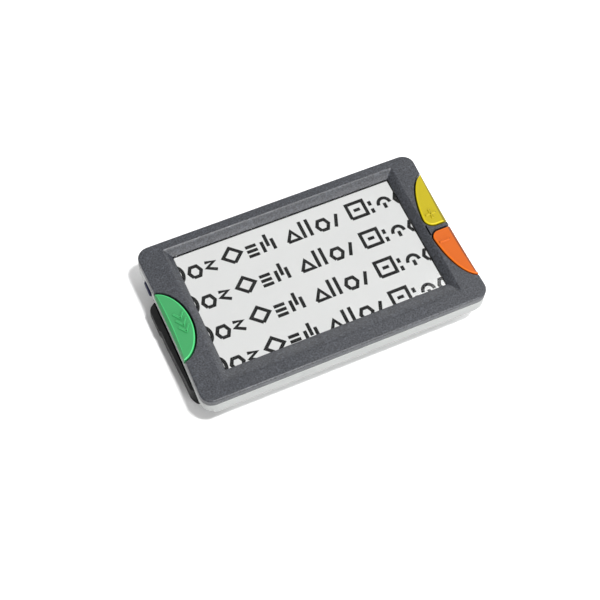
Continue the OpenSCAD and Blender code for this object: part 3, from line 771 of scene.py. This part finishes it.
def shell_additions():
    """What stands inside the shell: pocket walls, posts, bosses and the battery's frame."""
    (x0, y0), (x1, y1) = BATTERY_DOOR
    skin = BACK + 0.4
    walls = carve(body_form(INSIDE, BACK, ROOF + ROOF_T),
                  within(prism(pocket_plan(1.2), -1, ROOF + ROOF_T)))
    posts = [lathe([(3.2, BACK), (3.2, 12.6)], p) for p in CASE_POSTS[:OVER_POCKET]]
    posts += [lathe([(2.3, skin), (2.3, 9.35)], p) for p in BOARD_POSTS]
    inside = body_form(INSIDE, BACK, SPLIT)
    posts = [carve(post, within(inside.copy())) for post in posts]
    inside.free()
    return [walls, *posts,
            lathe([(3.1, ROOF + 0.2), (3.1, 17.4)], PIVOT),
            lathe([(13.8, skin), (13.8, 4.4)], CAMERA),
            block((x0 - 1.2, y0 - 1.2, skin), (x1 + 1.2, y1 + 1.2, 3.4)),
            lathe([(2.2, 2.4), (2.2, 8)], DOOR_SCREW)]


def shell_holes():
    """What is taken out of the shell, from the handle's pocket to the sound holes."""
    (x0, y0), (x1, y1) = BATTERY_DOOR
    skin = BACK + 0.4
    holes = [prism(pocket_plan(0), -1, ROOF),
             block((-38, y0, -1), (x1, y1, 7)),
             prism(round_rect((x1 - x0) / 2, (y1 - y0) / 2, 0.9, ((x0 + x1) / 2, (y0 + y1) / 2)),
                   -1, 2.4)]
    for i, post in enumerate(CASE_POSTS):
        seat = ROOF + 0.5 if i == OVER_POCKET else 9
        holes.append(lathe([(2.5, -1), (2.5, BACK), (2.1, skin), (2.1, seat)], post))
        holes.append(lathe([(1.1, seat - 0.5), (1.1, SPLIT + 1)], post))
    holes.append(lathe([(1.55, ROOF - 1), (1.55, SPLIT)], PIVOT))
    holes.append(lathe([(12.9, -1), (12.9, BACK), (12.5, BACK + 0.35), (12.5, BACK + 1.2),
                        (11, BACK + 1.21), (11, 5)], CAMERA))
    power_plan = round_rect(POWER_HALF[0] + POWER_GAP, POWER_HALF[1] + POWER_GAP,
                            POWER_R + POWER_GAP, steps=7)
    holes.append(on_left_wall(prism(power_plan, -HALF_L - 1.5, -56.6), *POWER))
    holes.append(on_far_wall(lathe([(3.2, HALF_W - 5), (3.2, HALF_W - 0.35), (3.6, HALF_W + 0.02),
                                    (3.8, HALF_W + 1)]), *SOCKET))
    for x in (29, 32, 35):
        holes.append(lathe([(0.95, 0), (0.95, BACK + 0.02), (0.6, BACK + 0.3), (0.6, 5)],
                           (x, -21), 20))
    holes.append(lathe([(1.0, 0), (1.0, 7.4)], DOOR_SCREW))
    return holes


def rear_shell():
    steps = less(body_form(WALL, 2.4, SPLIT + 1)) + plus(*shell_additions()) + less(*shell_holes())
    shell = carve(body_form(0, BACK, SPLIT), steps)
    piece("rear_shell_skin", shell, MATERIALS["shell"], "case", ["rear_shell"], 25, True)


def battery_door():
    """Door with a countersunk screw hole, four finger grooves outside and two ribs inside."""
    (x0, y0), (x1, y1) = BATTERY_DOOR
    centre, gap = ((x0 + x1) / 2, (y0 + y1) / 2), 0.2
    half_l, half_w = (x1 - x0) / 2 - gap, (y1 - y0) / 2 - gap
    edge = [(BACK, 0.3), (BACK + 0.08, 0.1), (BACK + 0.3, 0.0), (BACK + 1.6, 0.0)]
    plate = loft([ring_at(round_rect(half_l - i, half_w - i, 0.8, centre), z) for z, i in edge])
    cuts = [lathe([(2.4, 0), (2.4, BACK), (2.05, BACK + 0.3), (2.05, BACK + 0.8),
                   (1.1, BACK + 0.81), (1.1, 5)], DOOR_SCREW)]
    for i in range(4):
        x = x1 - 4.7 - 2 * i
        groove = [(x - 0.7, BACK - 0.01), (x - 0.35, BACK + 0.5), (x + 0.35, BACK + 0.5),
                  (x + 0.7, BACK - 0.01), (x + 0.7, -1), (x - 0.7, -1)]
        cuts.append(loft([[(a, y, b) for a, b in groove] for y in (centre[1] - 6, centre[1] + 6)]))
    ribs = [block((x0 + 10, y - 0.5, 2.35), (x1 - 6, y + 0.5, 2.9)) for y in (y0 + 9.2, y1 - 9.2)]
    piece("battery_door_plate", joined([carve(plate, less(*cuts))] + ribs), MATERIALS["shell"],
          "case", ["battery_door"], 25)


# ---------------------------------------------------------------- power key, handle

def power_key():
    """Cap with a domed end, and the flange that holds it in the wall."""
    y, z = POWER
    dome = ((-61.5, 0.5), (-61.43, 0.22), (-61.2, 0.05), (-60.95, 0.0), (-58.1, 0.0))
    rings = [ring_at(round_rect(POWER_HALF[0] - inset, POWER_HALF[1] - inset,
                                POWER_R - inset * 0.6, steps=7), x) for x, inset in dome]
    cap = on_left_wall(loft(rings), y, z)
    flange = block((-58.7, y - 3.5, z - 1.6), (-58.05, y + 3.5, z + 1.1))
    piece("power_key_cap", joined([cap, flange]), MATERIALS["blue"], "power_button",
          ["power_key"], 30)


def quarter(centre, r, start, steps=12):
    """Points of a quarter circle, anticlockwise from an angle in degrees."""
    angles = [radians(start + 90 * i / steps) for i in range(steps + 1)]
    return [(centre[0] + r * cos(a), centre[1] + r * sin(a)) for a in angles]


def handle_outline():
    """The handle from above, folded, with its finger tab at the upper end of the outer side."""
    low, top, x_in, x_out = -27.3, 16.2, -46.6, -62.1
    r_out, r_in = 4.6, 6.5
    points = [(x_in, top - 4), (x_in - 3, top)]
    points += [(x_out - 0.5, top), (x_out - 1.2, top - 0.7), (x_out - 1.2, 5.8),
               (x_out - 0.7, 4.4), (x_out - 0.7, 0.0), (x_out, -19.0)]
    points += quarter((x_out + r_out, low + r_out), r_out, 180)
    points += quarter((x_in - r_in, low + r_in), r_in, 270)
    return points


def finger_groove(g):
    """Outline of the slot along the handle's back, with round ends, grown by g."""
    x, y_top, y_low, r = -53, 7, -3, 3
    angles = [radians(15 * i) for i in range(13)]
    plan = [(x + (r + g) * cos(a), y_top + g + r * sin(a)) for a in angles]
    return plan + [(x - (r + g) * cos(a), y_low - g - r * sin(a)) for a in angles]


def handle():
    z0, z1 = HANDLE_Z
    body = prism(handle_outline(), z0, z1)
    cut_away(body, (-61.2, 0, z1), (-sin(radians(60)), 0, cos(radians(60))))
    cut_away(body, (-60.2, 0, z0), (-sin(radians(45)), 0, -cos(radians(45))))
    bmesh.ops.dissolve_limit(body, angle_limit=radians(0.5), verts=body.verts, edges=body.edges)
    soften(body, 0.45, 4, 24)
    bmesh.ops.recalc_face_normals(body, faces=body.faces)
    screw_seat = lathe([(3.95, z0 - 1), (3.95, z0), (3.6, z0 + 0.35), (3.6, z0 + 2.6)], PIVOT)
    screw_hole = lathe([(2.05, z0 + 1), (2.05, z1 + 1)], PIVOT)
    groove = loft([ring_at(finger_groove(g), z) for z, g in
                   ((z0 - 0.5, 0.6), (z0, 0.35), (z0 + 0.3, 0.05), (z0 + 1.2, -0.1),
                    (z0 + 1.6, -0.6))])
    body = carve(body, less(screw_seat, screw_hole, groove))
    piece("handle_grip", body, MATERIALS["handle"], "handle_arm", ["handle"], 26)


# ---------------------------------------------------------------- display

MARK_WIDTH, LOW_MARK, TALL_MARK = 1.45, 5.8, 8.2


def arc(cx, cy, rx, ry, start, end):
    """Points of an elliptic arc between two angles in degrees."""
    count = max(3, int(abs(end - start) // 12))
    angles = [radians(start + (end - start) * i / count) for i in range(count + 1)]
    return [(cx + rx * cos(a), cy + ry * sin(a)) for a in angles]


SIGNS = {
    # name: (advance, strokes)
    "cell": (7.3, [[(1.7, 0.5), (0.5, 2.9), (1.7, 5.3), (4.4, 5.3), (5.6, 2.9), (4.4, 0.5),
                    (1.7, 0.5)]]),
    "zigzag": (6.2, [[(0.6, 5.2), (4.4, 4.6), (0.8, 2.6), (4.6, 0.6)]]),
    "kite": (10.0, [[(4.5, 0.5), (8.4, 4.1), (4.5, 7.7), (0.6, 4.1), (4.5, 0.5)]]),
    "rungs": (7.0, [[(0.6, y), (5.2, y)] for y in (0.7, 2.9, 5.1)]),
    "hedge": (7.6, [[(0.6, 0.2), (0.6, 5.4)], [(2.8, 2.4), (2.8, TALL_MARK)],
                    [(5.0, 0.2), (5.0, 5.4)]]),
    "posts": (6.4, [[(x, 0.0), (x, TALL_MARK)] for x in (0.7, 3.7)]),
    "tent": (7.2, [[(0.5, 0.6), (5.9, 0.6), (3.2, 5.2), (0.5, 0.6)]]),
    "slant": (4.2, [[(0.6, 0.0), (2.8, LOW_MARK)]]),
    "frame": (9.6, [[(0.6, 0.6), (7.8, 0.6), (7.8, 7.6), (0.6, 7.6), (0.6, 0.6)],
                    [(2.8, 4.1), (5.6, 4.1)]]),
    "drops": (3.3, [[(0.7, 0.0), (0.7, 2.2)], [(0.7, 3.8), (0.7, 6.0)]]),
    "shade": (7.4, [arc(3.1, 2.4, 2.5, 2.8, 0, 180), [(3.1, 0.2), (3.1, 2.8)]]),
}
# Groups of signs in each row, by the x where they start
GROUPS = {-44.6: ["cell", "zigzag"], -29.6: ["kite", "rungs", "hedge"],
          -2.2: ["tent", "posts", "cell", "slant"], 26.2: ["frame", "drops", "shade", "cell"]}


def stroke_sides(points):
    """Left and right side of a stroke, mitred at its corners."""
    left, right = [], []
    last = len(points) - 1
    for i, (x, y) in enumerate(points):
        before, after = Vector(points[max(i - 1, 0)]), Vector(points[min(i + 1, last)])
        d = (after - before).normalized()
        half = MARK_WIDTH / 2
        if 0 < i < last:
            half /= max(d.dot((Vector((x, y)) - before).normalized()), 0.6)
        left.append((x - d.y * half, y + d.x * half))
        right.append((x + d.y * half, y - d.x * half))
    return left, right


def add_stroke(bm, points):
    """Thin closed strip along the points."""
    left, right = stroke_sides(points)
    for a in range(len(left) - 1):
        quad = [left[a], left[a + 1], right[a + 1], right[a]]
        bottom = [bm.verts.new((x, y, MARKS_Z - MARKS_T)) for x, y in quad]
        top = [bm.verts.new((x, y, MARKS_Z)) for x, y in quad]
        bm.faces.new(top)
        bm.faces.new(bottom[::-1])
        for k in range(4):
            # No wall where the strip runs on
            if (k == 1 and a < len(left) - 2) or (k == 3 and a > 0):
                continue
            m = (k + 1) % 4
            bm.faces.new((bottom[k], bottom[m], top[m], top[k]))


def picture_marks():
    """Rows of plain strokes on the lit panel that stand for magnified print. They are no letters."""
    rows, first_base, row_step, drift = 4, 17.7, 14.6, -0.35
    bm = bmesh.new()
    for row in range(rows):
        base = first_base - row_step * row
        for start, group in GROUPS.items():
            x = start + drift * row * (1 + start / 60)
            for name in group:
                advance, strokes = SIGNS[name]
                for stroke in strokes:
                    add_stroke(bm, [(x + px, base + py) for px, py in stroke])
                x += advance
        # The first mark of each row is cut by the picture's left edge
        half = TALL_MARK / 2
        add_stroke(bm, [(x - 49.4, base + y) for x, y in arc(0, half, 3.1, half, -115, 115)])
    bmesh.ops.remove_doubles(bm, verts=bm.verts, dist=1e-4)
    half_l, half_w = ACTIVE[0] / 2 + 0.2, ACTIVE[1] / 2 + 0.2
    for sx, sy in ((1, 0), (-1, 0), (0, 1), (0, -1)):
        edge = (PICTURE[0] + sx * half_l, PICTURE[1] + sy * half_w, 0)
        cut_away(bm, edge, (sx, sy, 0), several=True)
    return bm


def display():
    """The marks on the lit panel, and the black border on the window's underside."""
    piece("picture_marks", picture_marks(), MATERIALS["ink"], "case", (), 30)
    half_l, half_w = ACTIVE[0] / 2, ACTIVE[1] / 2
    under, border = WINDOW_Z - WINDOW_T, 1.9
    ring = carve(prism(round_rect(half_l + border, half_w + border, 1, PICTURE),
                       under - 0.018, under - 0.004),
                 less(prism(round_rect(half_l, half_w, 0.3, PICTURE), 17, 19)))
    piece("window_border", ring, MATERIALS["gasket"], "case", (), 30)


# ---------------------------------------------------------------- small visible parts

def feet():
    pads = [lathe([(2.2, 0.0), (2.6, 0.05), (2.95, 0.22), (3.15, 0.5), (3.2, BACK - 0.01)], p)
            for p in FEET]
    piece("rubber_feet_pads", joined(pads), MATERIALS["feet"], "case", ["rubber_feet"], 40)


def make_pieces():
    front_bezel()
    coloured_keys()
    key_mats()
    rear_shell()
    battery_door()
    power_key()
    handle()
    display()
    feet()


# ---------------------------------------------------------------- stage and light

def stage():
    mesh = bpy.data.meshes.new("floor")
    size = 3.0
    mesh.from_pydata([(-size, -size, 0), (size, -size, 0), (size, size, 0), (-size, size, 0)], [],
                     [(0, 1, 2, 3)])
    floor = bpy.data.objects.new("floor", mesh)
    mesh.materials.append(floor_material())
    SCENE.collection.objects.link(floor)


LIGHTS = [
    # name, place, target, size, power in watts
    ("overhead", (0.17, -0.40, 1.42), (0, 0, 0), (0.12, 0.12), 20.5),
    ("front_low", (0.25, -1.05, 0.25), (0, 0, 0.02), (0.7, 0.2), 5.6),
    ("front_box", (0.28, -0.95, 0.65), (0, 0, 0.02), (0.6, 0.06), 2.8),
    ("back_strip", (0.30, 1.10, 0.45), (0, 0, 0.02), (1.2, 0.3), 3.6),
    ("right_strip", (1.0, 0.42, 0.18), (0, 0, 0.02), (0.6, 0.3), 1.2),
    ("sheen", (0.62, 0.12, 0.92), (0, 0, 0.02), (0.7, 0.7), 3.0),
]


def area_light(name, place, target, size, power):
    data = bpy.data.lights.new(name, "AREA")
    data.shape = "RECTANGLE"
    data.size, data.size_y = size
    data.energy = power
    light = bpy.data.objects.new(name, data)
    turn = (Vector(target) - Vector(place)).to_track_quat("-Z", "Y").to_matrix().to_4x4()
    light.matrix_world = Matrix.Translation(place) @ turn
    SCENE.collection.objects.link(light)


def light_up():
    world = bpy.data.worlds.new("studio")
    world.use_nodes = True
    world.node_tree.nodes["Background"].inputs["Color"].default_value = (1, 1, 1, 1)
    world.node_tree.nodes["Background"].inputs["Strength"].default_value = 0.45
    SCENE.world = world
    SCENE.view_settings.view_transform = "Standard"
    for light in LIGHTS:
        area_light(*light)


make_camera()
paint_nodes()
make_pieces()
stage()
light_up()
